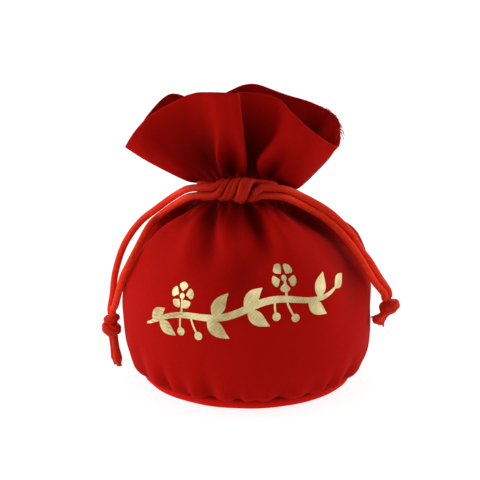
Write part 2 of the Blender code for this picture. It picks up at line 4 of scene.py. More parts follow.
import bpy
import numpy as np
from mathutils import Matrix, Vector


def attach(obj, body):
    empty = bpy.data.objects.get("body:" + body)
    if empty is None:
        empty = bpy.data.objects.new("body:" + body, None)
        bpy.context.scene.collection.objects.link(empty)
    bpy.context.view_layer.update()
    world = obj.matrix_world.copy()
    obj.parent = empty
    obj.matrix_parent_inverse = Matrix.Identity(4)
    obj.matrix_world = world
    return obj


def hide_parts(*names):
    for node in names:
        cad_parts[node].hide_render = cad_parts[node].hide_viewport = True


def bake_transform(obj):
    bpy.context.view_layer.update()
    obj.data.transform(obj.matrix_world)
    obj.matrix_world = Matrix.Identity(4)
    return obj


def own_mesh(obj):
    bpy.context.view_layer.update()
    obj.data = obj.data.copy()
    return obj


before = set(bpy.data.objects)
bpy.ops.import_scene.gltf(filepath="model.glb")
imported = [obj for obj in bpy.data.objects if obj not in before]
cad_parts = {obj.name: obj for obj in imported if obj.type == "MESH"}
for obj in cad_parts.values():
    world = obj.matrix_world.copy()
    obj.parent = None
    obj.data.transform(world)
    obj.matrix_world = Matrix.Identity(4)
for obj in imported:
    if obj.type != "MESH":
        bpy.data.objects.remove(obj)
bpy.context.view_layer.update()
mm = 0.001


def smooth(low, high, value):
    # 3t^2 - 2t^3, with t the share of the way from low to high
    t = np.clip((value - low) / (high - low), 0.0, 1.0)
    return t * t * (3 - 2 * t)


def through(keys, steps, closed=False):
    # Catmull-Rom curve through the keys along their first axis, with steps samples to a span
    keys = np.asarray(keys, float)
    count = len(keys)
    spans = count if closed else count - 1
    place = np.arange(spans * steps + (0 if closed else 1)) / steps
    index = np.minimum(place.astype(int), spans - 1)
    t = (place - index).reshape(-1, *([1] * (keys.ndim - 1)))
    if closed:
        a, b, c, d = (keys[(index + k) % count] for k in (-1, 0, 1, 2))
    else:
        padded = np.concatenate([2 * keys[:1] - keys[1:2], keys, 2 * keys[-1:] - keys[-2:-1]])
        a, b, c, d = (padded[index + k] for k in (0, 1, 2, 3))
    square = (2 * a - 5 * b + 4 * c - d) * t**2
    cube = (3 * b - a - 3 * c + d) * t**3
    return 0.5 * (2 * b + (c - a) * t + square + cube)


def evenly(line, count):
    # the same line with count points an equal distance apart
    along = np.concatenate([[0], np.cumsum(np.linalg.norm(np.diff(line, axis=0), axis=1))])
    places = np.linspace(0, along[-1], count)
    return np.stack([np.interp(places, along, line[:, k]) for k in range(3)], 1)


def ripple(a, b, seed):
    # smooth unevenness, mostly from -1 to 1: a sum of eight sine waves whose directions come from the seed
    rng = np.random.default_rng(seed)
    total = 0.0
    for octave in range(8):
        turn = rng.uniform(0, 2 * math.pi)
        rate = 1.0 + 0.55 * octave
        total = total + np.sin(rate * (a * math.cos(turn) + b * math.sin(turn)) + rng.uniform(0, 6.28)) / rate
    return total / 2.6


def gridNormals(grid, closed):
    # cross product of the steps round and up the grid, length 1
    up = np.gradient(grid, axis=0)
    if closed:
        sideways = np.roll(grid, -1, axis=1) - np.roll(grid, 1, axis=1)
    else:
        sideways = np.gradient(grid, axis=1)
    normal = np.cross(sideways, up)
    return normal / np.maximum(np.linalg.norm(normal, axis=-1)[..., None], 1e-12)


def gridFaces(rows, columns, closed, loop=False):
    # a face between each four neighbours of a grid, point number = row columns + column;
    # closed joins the last column to the first, loop the last row to the first
    faceRows = rows if loop else rows - 1
    faceColumns = columns if closed else columns - 1
    i, j = np.meshgrid(np.arange(faceRows), np.arange(faceColumns), indexing="ij")
    nextI, nextJ = (i + 1) % rows, (j + 1) % columns
    corners = [i * columns + j, i * columns + nextJ, nextI * columns + nextJ, nextI * columns + j]
    return np.stack(corners, -1).reshape(-1, 4)


def endFaces(rows, columns, column, flip):
    # closes the open end of a looped sheet at a column, from each outer row to the inner row behind it
    i = np.arange((rows - 1) // 2)
    faces = np.stack([i, i + 1, rows - 2 - i, rows - 1 - i], -1) * columns + column
    return faces[:, ::-1] if flip else faces


def meshPiece(name, points, faces, material, uv=None, shade=None):
    # points (n, 3) in metres, faces (m, 4); uv and shade have one value for each point, shade being how much
    # painted shade the point gets
    mesh = bpy.data.meshes.new(name)
    faces = np.asarray(faces)
    mesh.vertices.add(len(points))
    mesh.vertices.foreach_set("co", np.asarray(points, np.float32).ravel())
    mesh.loops.add(faces.size)
    mesh.loops.foreach_set("vertex_index", faces.astype(np.int32).ravel())
    mesh.polygons.add(len(faces))
    mesh.polygons.foreach_set("loop_start", np.arange(0, faces.size, faces.shape[1], dtype=np.int32))
    mesh.update(calc_edges=True)
    if uv is not None:
        layer = mesh.uv_layers.new(name="UVMap")
        layer.data.foreach_set("uv", np.asarray(uv, np.float32)[faces.ravel()].ravel())
    if shade is not None:
        layer = mesh.attributes.new("paintedShade", "FLOAT", "POINT")
        layer.data.foreach_set("value", np.asarray(shade, np.float32).ravel())
    mesh.validate()
    mesh.shade_smooth()
    mesh.materials.append(material)
    obj = bpy.data.objects.new(name, mesh)
    bpy.context.scene.collection.objects.link(obj)
    return obj


def newGroup(name, inputs, outputs):
    # a shader group from (label, kind, value) inputs and (label, kind) outputs
    group = bpy.data.node_groups.new(name, "ShaderNodeTree")
    for label, kind, value in inputs:
        socket = group.interface.new_socket(label, in_out="INPUT", socket_type=kind)
        if value is not None:
            socket.default_value = value
    for label, kind in outputs:
        group.interface.new_socket(label, in_out="OUTPUT", socket_type=kind)
    return group, group.nodes.new("NodeGroupInput"), group.nodes.new("NodeGroupOutput")


def node(tree, kind, **values):
    # a shader node with its properties set
    made = tree.nodes.new(kind)
    for key, value in values.items():
        setattr(made, key, value)
    return made


def setInputs(made, values):
    # values for a node's inputs, by their names
    for label, value in values.items():
        made.inputs[label].default_value = value


def mathNode(tree, operation, a, b=None, c=None):
    # the operation on a, b and c, each a number or another node's output
    made = node(tree, "ShaderNodeMath", operation=operation)
    for index, value in enumerate((a, b, c)):
        if value is None:
            continue
        if isinstance(value, (int, float)):
            made.inputs[index].default_value = value
        else:
            tree.links.new(value, made.inputs[index])
    return made.outputs[0]


def colourRamp(tree, share, low, high):
    # colour from low to high as the share grows; each stop is (place, colour)
    ramp = node(tree, "ShaderNodeValToRGB")
    for element, (place, colour) in zip(ramp.color_ramp.elements, (low, high)):
        element.position = place
        element.color = (*colour, 1)
    tree.links.new(share, ramp.inputs["Fac"])
    return ramp.outputs["Color"]


def withPaintedShade(tree, colour, deep):
    # painted shade: the colour, turned to the deep one as far as the piece's own painted-shade attribute says
    paintedShade = node(tree, "ShaderNodeAttribute", attribute_name="paintedShade")
    mix = node(tree, "ShaderNodeMix", data_type="RGBA")
    mix.inputs["B"].default_value = (*deep, 1)
    tree.links.new(colour, mix.inputs["A"])
    tree.links.new(paintedShade.outputs["Fac"], mix.inputs["Factor"])
    return mix.outputs["Result"]


def relief(tree, height, strength, distance):
    # the normal of a bump whose height is 0 to 1 of the distance in metres
    bump = node(tree, "ShaderNodeBump")
    setInputs(bump, {"Strength": strength, "Distance": distance})
    tree.links.new(height, bump.inputs["Height"])
    return bump.outputs["Normal"]


def clothWeaveGroup():
    # plain weave: (1 + sin(threads (x + y)) sin(threads z)) / 2, and a noise for the unevenness of the nap
    group, inside, outside = newGroup(
        "clothWeave",
        [("Vector", "NodeSocketVector", None), ("Threads", "NodeSocketFloat", 9000.0),
         ("Nap", "NodeSocketFloat", 900.0)],
        [("Weave", "NodeSocketFloat"), ("Nap", "NodeSocketFloat")],
    )
    links = group.links
    threads = inside.outputs["Threads"]
    split = node(group, "ShaderNodeSeparateXYZ")
    links.new(inside.outputs["Vector"], split.inputs[0])
    diagonal = mathNode(group, "ADD", split.outputs[0], split.outputs[1])
    across = mathNode(group, "SINE", mathNode(group, "MULTIPLY", diagonal, threads))
    upward = mathNode(group, "SINE", mathNode(group, "MULTIPLY", split.outputs[2], threads))
    weave = mathNode(group, "MULTIPLY_ADD", mathNode(group, "MULTIPLY", across, upward), 0.5, 0.5)
    links.new(weave, outside.inputs["Weave"])
    noise = node(group, "ShaderNodeTexNoise")
    setInputs(noise, {"Detail": 6.0, "Roughness": 0.62})
    links.new(inside.outputs["Vector"], noise.inputs["Vector"])
    links.new(inside.outputs["Nap"], noise.inputs["Scale"])
    links.new(noise.outputs["Fac"], outside.inputs["Nap"])
    return group


weaveGroup = clothWeaveGroup()


def wovenMaterial(name, threads, nap):
    # a new material with the weave over the piece's own coordinates
    material = bpy.data.materials.new(name)
    material.use_nodes = True
    tree = material.node_tree
    place = node(tree, "ShaderNodeTexCoord")
    weave = node(tree, "ShaderNodeGroup", node_tree=weaveGroup)
    setInputs(weave, {"Threads": threads, "Nap": nap})
    tree.links.new(place.outputs["Object"], weave.inputs["Vector"])
    return material, tree, tree.nodes["Principled BSDF"], weave


# where the nap's colour starts and ends between worn and full, and what its relief is made of
napLook = {
    "wornAt": 0.25, "fullAt": 0.80, "roughnessSpread": 0.16,
    "napShare": 0.6, "weaveShare": 0.4, "depth": 0.0002,
}


def clothMaterial(name, values):
    # colour from worn to full by the nap, with painted shade in the hollows and folds, with the nap and the
    # weave in the bump
    material, tree, shader, weave = wovenMaterial(name, values["threads"], values["nap"])
    worn, full = (napLook["wornAt"], values["worn"]), (napLook["fullAt"], values["colour"])
    colour = colourRamp(tree, weave.outputs["Nap"], worn, full)
    tree.links.new(withPaintedShade(tree, colour, values["deep"]), shader.inputs["Base Color"])
    smoothest = values["roughness"] - napLook["roughnessSpread"] / 2
    rough = mathNode(tree, "MULTIPLY_ADD", weave.outputs["Nap"], napLook["roughnessSpread"], smoothest)
    tree.links.new(rough, shader.inputs["Roughness"])
    setInputs(shader, {
        "Specular IOR Level": values["specular"], "Sheen Weight": values["sheen"], "Sheen Roughness": 0.45,
        "Sheen Tint": (*values["sheenTint"], 1),
    })
    threads = mathNode(tree, "MULTIPLY", weave.outputs["Weave"], napLook["weaveShare"])
    height = mathNode(tree, "MULTIPLY_ADD", weave.outputs["Nap"], napLook["napShare"], threads)
    tree.links.new(relief(tree, height, values["bump"], napLook["depth"]), shader.inputs["Normal"])
    return material


# deep is the colour of the painted shade, where a piece's painted shade is full
plainCloth = {
    "colour": (0.50, 0.0052, 0.0028), "worn": (0.43, 0.0038, 0.0020), "deep": (0.12, 0.0005, 0.0003),
    "sheenTint": (1.0, 0.06, 0.04), "sheen": 0.05, "specular": 0.03, "roughness": 0.80,
    "threads": 9000.0, "nap": 900.0, "bump": 0.35,
}
redCloth = clothMaterial("redPouchCloth", plainCloth)
liningCloth = clothMaterial("redLiningCloth", {
    **plainCloth, "sheen": 0.03, "roughness": 0.85,
    "colour": (0.34, 0.0035, 0.0020), "worn": (0.28, 0.0025, 0.0015), "deep": (0.12, 0.0006, 0.0004),
})
# painted light: the base rim's cloth is the pouch's red made lighter, standing in for the light that the rim
# catches facing up, where in this scene the wall shades it
paintedLightRimCloth = clothMaterial("redBaseClothPaintedLight", {
    **plainCloth, "sheenTint": (1.0, 0.10, 0.06), "sheen": 0.06, "specular": 0.04, "roughness": 0.75,
    "bump": 0.30,
    "colour": (0.76, 0.0100, 0.0060), "worn": (0.62, 0.0070, 0.0040), "deep": (0.20, 0.0008, 0.0005),
})
greyCard = clothMaterial("greyCard", {
    "colour": (0.42, 0.38, 0.32), "worn": (0.34, 0.30, 0.25), "deep": (0.20, 0.18, 0.15),
    "sheenTint": (1.0, 1.0, 1.0), "sheen": 0.0, "specular": 0.20, "roughness": 0.85,
    "threads": 3000.0, "nap": 1600.0, "bump": 0.15,
})


def cordMaterial(name, values):
    # satin cord: filaments by sin(slant U + 2 pi strands V) and a noise stretched by the grain, where U is
    # the length along the cord in metres and V the share of the way round
    material = bpy.data.materials.new(name)
    material.use_nodes = True
    tree = material.node_tree
    shader = tree.nodes["Principled BSDF"]
    place = node(tree, "ShaderNodeUVMap", uv_map="UVMap")
    split = node(tree, "ShaderNodeSeparateXYZ")
    tree.links.new(place.outputs["UV"], split.inputs[0])
    around = mathNode(tree, "MULTIPLY", split.outputs[1], 2 * math.pi * values["strands"])
    slant = mathNode(tree, "MULTIPLY_ADD", split.outputs[0], values["slant"], around)
    filament = mathNode(tree, "MULTIPLY_ADD", mathNode(tree, "SINE", slant), 0.5, 0.5)
    noise = node(tree, "ShaderNodeTexNoise")
    setInputs(noise, {"Scale": 1.0, "Detail": 5.0})
    stretch = node(tree, "ShaderNodeMapping")
    setInputs(stretch, {"Scale": values["grain"]})
    tree.links.new(place.outputs["UV"], stretch.inputs["Vector"])
    tree.links.new(stretch.outputs["Vector"], noise.inputs["Vector"])
    grain = mathNode(tree, "MULTIPLY", noise.outputs["Fac"], 1 - values["groove"])
    mixed = mathNode(tree, "MULTIPLY_ADD", filament, values["groove"], grain)
    colour = colourRamp(tree, mixed, (values["darkAt"], values["dark"]), (values["fullAt"], values["colour"]))
    # painted shade on the cord: the colour turns to the deep one by the piece's painted-shade attribute
    tree.links.new(withPaintedShade(tree, colour, values["deep"]), shader.inputs["Base Color"])
    setInputs(shader, {
        "Roughness": values["roughness"], "Specular IOR Level": values["specular"],
        "Sheen Weight": values["sheen"], "Sheen Tint": (*values["sheenTint"], 1),
    })
    tree.links.new(relief(tree, mixed, values["bump"], values["depth"]), shader.inputs["Normal"])
    return material


# deep is the colour of the painted shade on the cord
redCord = cordMaterial("redSatinCord", {
    "colour": (1.0, 0.044, 0.011), "dark": (0.66, 0.014, 0.004), "deep": (0.26, 0.003, 0.001),
    "darkAt": 0.22, "fullAt": 0.72, "slant": 900.0, "strands": 9, "groove": 0.14, "grain": (900.0, 7.0, 1.0),
    "sheenTint": (1.0, 0.12, 0.06), "sheen": 0.04, "specular": 0.06, "roughness": 0.50,
    "bump": 0.30, "depth": 0.0003,
})


def foilMaterial(name, values):
    # pressed gold foil: the weave shows through a little, and broad patches lie duller
    material, tree, shader, weave = wovenMaterial(name, values["threads"], values["patch"])
    patch = mathNode(tree, "ADD", weave.outputs["Nap"], values["patchShift"])
    mixed = mathNode(tree, "MULTIPLY_ADD", weave.outputs["Weave"], values["weaveShare"], patch)
    colour = colourRamp(tree, mixed, (values["dullAt"], values["dull"]), (values["fullAt"], values["colour"]))
    tree.links.new(colour, shader.inputs["Base Color"])
    setInputs(shader, {"Metallic": values["metallic"], "Roughness": values["roughness"]})
    normal = relief(tree, weave.outputs["Weave"], values["bump"], values["depth"])
    tree.links.new(normal, shader.inputs["Normal"])
    return material


goldFoil = foilMaterial("goldFoil", {
    "colour": (0.86, 0.72, 0.36), "dull": (0.40, 0.30, 0.11), "dullAt": 0.36, "fullAt": 0.60,
    "threads": 5200.0, "patch": 70.0, "patchShift": -0.03, "weaveShare": 0.08,
    "metallic": 0.35, "roughness": 0.42, "bump": 0.4, "depth": 0.0002,
})
print("materials made")

# in metres and degrees, with the lens and the sensor in mm
camera = {"aim": (-0.0025, 0.0, 0.048), "distance": 0.55, "elevation": 16.0, "lens": 121.35, "sensor": 36}
cameraData = bpy.data.cameras.new("camera")
cameraData.lens = camera["lens"]
cameraData.sensor_width = camera["sensor"]
cameraData.clip_start = 0.01
cameraObject = bpy.data.objects.new("camera", cameraData)
tilt = math.radians(camera["elevation"])
aim = Vector(camera["aim"])
cameraObject.location = aim + camera["distance"] * Vector((0, -math.cos(tilt), math.sin(tilt)))
cameraObject.rotation_euler = (math.pi / 2 - tilt, 0, 0)
bpy.context.scene.collection.objects.link(cameraObject)
bpy.context.scene.camera = cameraObject

lights = {
    "left": {"place": (-0.75, -0.10, 0.22), "size": 0.7, "power": 4.0},
    "right": {"place": (0.75, 0.12, 0.22), "size": 0.7, "power": 3.0},
    "front": {"place": (-0.25, -0.90, 0.55), "size": 0.6, "power": 0.8},
}
lightsAim = Vector((0, 0, 0.05))
for label, values in lights.items():
    lamp = bpy.data.lights.new(label, "AREA")
    lamp.energy = values["power"]
    lamp.size = values["size"]
    lampObject = bpy.data.objects.new(label, lamp)
    lampObject.location = values["place"]
    lampObject.rotation_euler = (lightsAim - Vector(values["place"])).to_track_quat("-Z", "Y").to_euler()
    bpy.context.scene.collection.objects.link(lampObject)

# the studio is a white tent, open and darker towards the front: its light on the object rises from frontLight
# to backLight as the direction's part along Y goes from frontEdge to backEdge. The floor glows by floorGlow
# where it is seen, and by floorBounce on the object
backdrop = {
    "frontLight": 0.16, "backLight": 0.95, "frontEdge": -0.45, "backEdge": 0.35,
    "floorColour": (0.30, 0.30, 0.30), "floorGlow": 0.86, "floorBounce": 0.62,
    "floorSize": 3.0, "floorDrop": -0.0001,
}


def seenDirectly(tree):
    # 1 for what is seen, in a reflection or through glass too, and 0 for the light on other things
    path = node(tree, "ShaderNodeLightPath")
    first = mathNode(tree, "MAXIMUM", path.outputs["Is Camera Ray"], path.outputs["Is Glossy Ray"])
    return mathNode(tree, "MAXIMUM", first, path.outputs["Is Transmission Ray"])


world = bpy.data.worlds.new("studio")
bpy.context.scene.world = world
world.use_nodes = True
tree = world.node_tree
background = tree.nodes["Background"]
background.inputs["Color"].default_value = (1, 1, 1, 1)
direction = node(tree, "ShaderNodeSeparateXYZ")
tree.links.new(node(tree, "ShaderNodeTexCoord").outputs["Generated"], direction.inputs[0])
tent = node(tree, "ShaderNodeMapRange", interpolation_type="SMOOTHSTEP")
setInputs(tent, {
    "From Min": backdrop["frontEdge"], "From Max": backdrop["backEdge"],
    "To Min": backdrop["frontLight"], "To Max": backdrop["backLight"],
})
tree.links.new(direction.outputs[1], tent.inputs["Value"])
strength = mathNode(tree, "MAXIMUM", seenDirectly(tree), tent.outputs["Result"])
tree.links.new(strength, background.inputs["Strength"])

floorMaterial = bpy.data.materials.new("paleFloor")
floorMaterial.use_nodes = True
tree = floorMaterial.node_tree
shader = tree.nodes["Principled BSDF"]
setInputs(shader, {
    "Base Color": (*backdrop["floorColour"], 1), "Roughness": 0.9, "Specular IOR Level": 0.0,
    "Emission Color": (1, 1, 1, 1),
})
more = backdrop["floorGlow"] - backdrop["floorBounce"]
glow = mathNode(tree, "MULTIPLY_ADD", seenDirectly(tree), more, backdrop["floorBounce"])
tree.links.new(glow, shader.inputs["Emission Strength"])
size, drop = backdrop["floorSize"], backdrop["floorDrop"]
corners = [(-size, -size, drop), (size, -size, drop), (size, size, drop), (-size, size, drop)]
floor = meshPiece("floor", corners, [(0, 1, 2, 3)], floorMaterial)
bpy.context.scene.view_settings.view_transform = "Standard"
print("camera, lights and floor made")


# lengths in metres, angles in degrees; steps is the samples between two points of a route
cord = {"diameter": 0.0024, "sides": 14, "spacing": 0.0026, "steps": 8}
# the half-knot, drawn tight: its strands are pressed thin inside it, and plump where they cross its front;
# shade is the painted shade on the cord about it, fading out over shadeReach
twist = {
    "centre": (-0.0035, -0.0190, 0.0704), "length": 0.0136, "radius": 0.0026, "turns": 1.5, "pairPhase": 62,
    "points": 41, "firstLag": 0.25, "secondLag": -0.05, "bulge": 0.0011, "bulgeAt": 0.66, "bulgeWidth": 0.20,
    "pinch": 0.84, "plump": 0.34, "plumpAt": 0.17, "plumpWidth": 0.20,
    "shade": 0.74, "shadeReach": (0.026, 0.014, 0.020),
}
# the tunnel round the back of the neck, from the right exit to the left one
channel = {
    "height": 0.0685, "dip": 0.0012, "width": 0.01195, "depth": 0.00995,
    "neckWidth": 0.0308, "neckDepth": 0.0268, "start": -33, "sweep": 236, "points": 17,
    "rightExit": (0.0088, -0.0098), "leftExit": (-0.0122, -0.0088),
    "knotClearance": 0.0012, "liftLevel": 0.0023,
}
# the routes from the half-knot over each shoulder to the stop knot; keep is the share of a strand's height
# that is left when its end is drawn in. A wrap of a stop knot is its turns, radius, middle height, rise, lean
ends = {
    "left": {
        "side": -1, "shoulder": (-0.0300, -0.0034, 0.0587),
        "route": [(-0.0184, -0.0166, 0.0690), (-0.0234, -0.0072, 0.0644)],
        "outer": [(-0.0366, -0.0010, 0.0543), (-0.0419, 0.0005, 0.0462), (-0.0451, 0.0008, 0.0366),
                  (-0.0463, 0.0016, 0.0280)],
        "inner": [(-0.0330, -0.0073, 0.0547), (-0.0372, -0.0115, 0.0475), (-0.0396, -0.0124, 0.0430),
                  (-0.0418, -0.0098, 0.0380), (-0.0437, -0.0053, 0.0310), (-0.0453, -0.0016, 0.0250)],
        "knot": (-0.0469, 0.0010, 0.0172), "lean": 2, "pair": 70, "keep": 0.69,
        "wraps": [(1.25, 0.00170, 0.00235, 0.0006, -12), (2.3, 0.00225, -0.00120, 0.0024, 14),
                  (1.3, 0.00090, -0.00270, 0.0006, 0)],
        "core": (0.0030, -0.0026), "tail": 0.0100, "splay": (-8, -10), "back": 0.0016, "tailShade": 0.45,
        "swell": (1.0, 0.95, 1.0, 1.15, 1.25, 0.62), "fray": {"count": 30, "length": 0.0013, "spread": 0.30},
    },
    "right": {
        "side": 1, "shoulder": (0.0262, -0.0108, 0.0598),
        "route": [(0.0112, -0.0172, 0.0690), (0.0170, -0.0122, 0.0655)],
        "outer": [(0.0339, -0.0114, 0.0541), (0.0372, -0.0119, 0.0488), (0.0409, -0.0113, 0.0437),
                  (0.0446, -0.0088, 0.0372)],
        "inner": [(0.0321, -0.0139, 0.0530), (0.0359, -0.0146, 0.0481), (0.0391, -0.0139, 0.0430),
                  (0.0427, -0.0105, 0.0364)],
        "knot": (0.0483, -0.0080, 0.0263), "lean": -15, "pair": 50, "keep": 0.40,
        "wraps": [(2.7, 0.00245, 0.00050, 0.0024, 10), (1.2, 0.00095, 0.00190, 0.0005, -10),
                  (1.2, 0.00120, -0.00060, 0.0006, 10)],
        "core": (0.0030, -0.0008), "tail": 0.0015, "splay": (-52, -60), "back": 0.0026, "tailShade": 0.22,
        "swell": (0.95, 1.0, 1.1, 1.25, 1.40, 1.30), "fray": {"count": 60, "length": 0.0014, "spread": 0.75},
    },
}
# shade is the painted shade on the stop knots; each end's tailShade is the painted shade on its tails
stopKnot = {
    "height": 0.0074, "gap": 0.0005, "lead": 0.002, "tube": 0.00122, "core": 0.0021, "coreEnd": 0.6,
    "shade": 0.42, "firstAngle": 0.7, "tuck": 0.75, "tuckShare": 0.12,
}


def slopes(line):
    # the line's direction at each point, length 1
    slope = np.gradient(line, axis=0)
    return slope / np.linalg.norm(slope, axis=1)[:, None]


def carried(line, start):
    # a direction square to the line, carried along it: at each point it loses its part along the line
    found = []
    side = np.asarray(start, float)
    for step in slopes(line):
        side = side - step * np.dot(side, step)
        side = side / np.linalg.norm(side)
        found.append(side)
    return np.array(found)


def tube(line, radius, sides):
    # a circle of the radius carried along the line, its ends rounded off: points, faces and uv
    line = np.asarray(line, float)
    radius = np.broadcast_to(np.asarray(radius, float), len(line))
    slope = slopes(line)
    turn = np.linspace(0, math.pi / 2, 5)[1:]
    head = line[0] - slope[0] * (np.sin(turn) * radius[0])[::-1, None]
    tail = line[-1] + slope[-1] * (np.sin(turn) * radius[-1])[:, None]
    firstCap, lastCap = np.cos(turn) * radius[0] + 1e-6, np.cos(turn) * radius[-1] + 1e-6
    radius = np.concatenate([firstCap[::-1], radius, lastCap])
    line = np.concatenate([head, line, tail])
    frameA = carried(line, (0.13, 0.2, 1.0))
    frameB = np.cross(slopes(line), frameA)
    turn = np.linspace(0, 2 * math.pi, sides + 1)
    ring = frameA[:, None] * np.cos(turn)[None, :, None] + frameB[:, None] * np.sin(turn)[None, :, None]
    points = line[:, None] + ring * radius[:, None, None]
    along = np.concatenate([[0], np.cumsum(np.linalg.norm(np.diff(line, axis=0), axis=1))])
    uv = np.stack(np.broadcast_arrays(along[:, None], turn[None, :] / (2 * math.pi)), -1)
    return points.reshape(-1, 3), gridFaces(*points.shape[:2], False), uv.reshape(-1, 2)


def tubePiece(name, tubes, cadNode, body, paintedShade=0.0):
    # several tubes in one piece that stands for a node, with a painted shade as dark as the one given, and
    # more painted shade about the half-knot
    starts = np.cumsum([0] + [len(points) for points, _, _ in tubes])
    points = np.concatenate([points for points, _, _ in tubes])
    faces = np.concatenate([faces + start for (_, faces, _), start in zip(tubes, starts)])
    uv = np.concatenate([uv for _, _, uv in tubes])
    away = np.linalg.norm((points - np.array(twist["centre"])) / np.array(twist["shadeReach"]), axis=1)
    shade = np.maximum(paintedShade, twist["shade"] * (1 - smooth(0.25, 1.1, away)))
    piece = meshPiece(name, points, faces, redCord, uv=uv, shade=shade)
    if cadNode:
        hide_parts(cadNode)
    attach(piece, body)
    return piece


def knotFrame(end):
    # the stop knot's centre, its axis, the outward direction, and the one from the inner strand to the outer
    lean, pair = math.radians(end["lean"]), math.radians(end["pair"])
    axis = np.array([math.sin(lean), 0.0, math.cos(lean)])
    wide = np.array([axis[2], 0.0, -axis[0]]) * end["side"]
    return np.array(end["knot"]), axis, wide, wide * math.cos(pair) + np.array([0.0, math.sin(pair), 0.0])


def sideRoute(end, strand):
    # one strand from the half-knot to the stop knot, in two stretches that meet at the shoulder; strand is +1
    # for the upper or outer one and -1 for the other
    phase = math.radians(twist["pairPhase"] / 2)
    steps = cord["steps"]
    x, y, z = twist["centre"]
    start = (x + end["side"] * twist["length"] / 2, y - twist["radius"] * math.cos(phase), z)
    lead = through([start, *end["route"], end["shoulder"]], steps)
    reach = twist["radius"] * math.sin(phase)
    apart = reach + (cord["spacing"] / 2 - reach) * smooth(0.0, 0.4, np.linspace(0, 1, len(lead)))
    lead = lead + carried(lead, (0, 0, 1)) * (apart * strand)[:, None]
    knot, axis, _, across = knotFrame(end)
    top = knot + axis * (stopKnot["height"] / 2 + stopKnot["gap"]) + across * cord["spacing"] / 2 * strand
    hanging = end["outer" if strand > 0 else "inner"]
    line = through([*lead[::steps], *hanging, top + axis * stopKnot["lead"], top], steps)
    split = steps * (len(lead[::steps]) - 1)
    return line[: split + 1], line[split:]


def wound(phase, lag):
    # winds round a line along X from bottom to front to top, wider where it crosses the front past midway;
    # angle = phase + 360 turns (s - lag sin(2 pi s) / 2 pi), with s from 0 to 1 along the half-knot
    s = np.arange(twist["points"]) / (twist["points"] - 1)
    a = np.radians(phase + 360 * twist["turns"] * (s - lag * np.sin(2 * math.pi * s) / (2 * math.pi)))
    bulge = twist["bulge"] * np.exp(-(((s - twist["bulgeAt"]) / twist["bulgeWidth"]) ** 2))
    radius = twist["radius"] + bulge * (0.5 + 0.5 * np.sin(a))
    x, y, z = twist["centre"]
    return np.stack([x + twist["length"] * (s - 0.5), y - radius * np.sin(a), z - radius * np.cos(a)], 1)


def exitHeight(place):
    # the channel's height beside an exit: height - dip cos(2 angle round the neck)
    angle = math.atan2(place[1] / channel["neckDepth"], place[0] / channel["neckWidth"])
    return channel["height"] - channel["dip"] * math.cos(2 * angle)


def channelRun(level):
    # an oval round the back of the neck, level above the channel's middle and dipping by cos(2 angle), with
    # two points given at each end that lead to the half-knot
    share = np.arange(channel["points"]) / (channel["points"] - 1)
    turn = np.radians(channel["start"] + channel["sweep"] * share)
    height = channel["height"] - channel["dip"] * np.cos(2 * turn) + level
    oval = np.stack([channel["width"] * np.cos(turn), channel["depth"] * np.sin(turn), height], 1)
    right, left = channel["rightExit"], channel["leftExit"]
    lift = (twist["centre"][2] - channel["height"]) / 2 * (0.9 + 1.6 * level / channel["liftLevel"])
    near = twist["centre"][1] + twist["radius"] + channel["knotClearance"]
    out, back = exitHeight(right) + level, exitHeight(left) + level
    first = [(right[0] - 0.0008 + 0.3 * level, near, out + 0.6 * lift),
             (right[0] - 0.0006, right[1] - 0.0014, out)]
    last = [(left[0] - 0.0006, left[1] - 0.0016, back),
            (left[0] - 0.0028 - 0.4 * level, near, back + lift)]
    return np.concatenate([first, oval, last])


def knotThickness(line):
    # the share of its thickness that the cord has: pinch inside the half-knot, and plump more at its front
    x, y = line[:, 0] - twist["centre"][0], line[:, 1] - twist["centre"][1]
    inKnot = (1 - smooth(0.7, 1.1, np.abs(x) / (twist["length"] / 2))) * (y < 0.006)
    crossing = np.exp(-((x / twist["length"] - twist["plumpAt"]) / twist["plumpWidth"]) ** 2)
    return 1 - (1 - twist["pinch"]) * inKnot + twist["plump"] * crossing * smooth(0.0, 0.002, -y)


halfSpacing = cord["spacing"] / 2
cordRadius = cord["diameter"] / 2
halfPhase = twist["pairPhase"] / 2
# each drawcord: its phase at the start of each pass, its level in the channel, and its strands
for name, firstPhase, secondPhase, level, strand in (
    ("lower", 90 + halfPhase, 270 + halfPhase, -halfSpacing, 1),
    ("upper", 90 - halfPhase, 270 - halfPhase, halfSpacing, -1),
):
    left = sideRoute(ends["left"], strand)[0][::-1]
    right = sideRoute(ends["right"], strand)[0]
    firstPass = wound(firstPhase, twist["firstLag"])[2:-2:2]
    secondPass = wound(secondPhase, twist["secondLag"])[2:-2:2]
    knotted = through(np.concatenate([firstPass, channelRun(level), secondPass]), 6)
    line = evenly(np.concatenate([left[:-1], knotted, right[1:]]), 460)
    drawn = tube(line, cordRadius * knotThickness(line), cord["sides"])
    tubePiece("cord" + name.capitalize(), [drawn], "drawcord_" + name, "pouch")


def wrapLine(knot, axis, wide, turns, reach, middle, rise, lean):
    # a wrap of the stop knot: a helix round the axis, tipped by the lean, whose ends tuck in towards the axis
    s = np.linspace(0, 1, int(30 * turns))
    tilt = math.radians(lean)
    front = np.cross(axis, wide)
    tipped = wide * math.cos(tilt) + axis * math.sin(tilt)
    turn = 2 * math.pi * turns * s + stopKnot["firstAngle"]
    share = stopKnot["tuckShare"]
    tuck = 1 - stopKnot["tuck"] * (1 - smooth(0.0, share, s) + smooth(1 - share, 1.0, s))
    offset = tipped * np.cos(turn)[:, None] + front * np.sin(turn)[:, None]
    return knot + axis * (middle + rise * (0.5 - s))[:, None] + offset * (reach * tuck)[:, None]


rng = np.random.default_rng(12)
# a loose fibre, with its radius at the root and at the tip
fibre = {"radius": (0.00017, 0.00008), "points": 5, "sides": 5, "sunk": 0.0006}


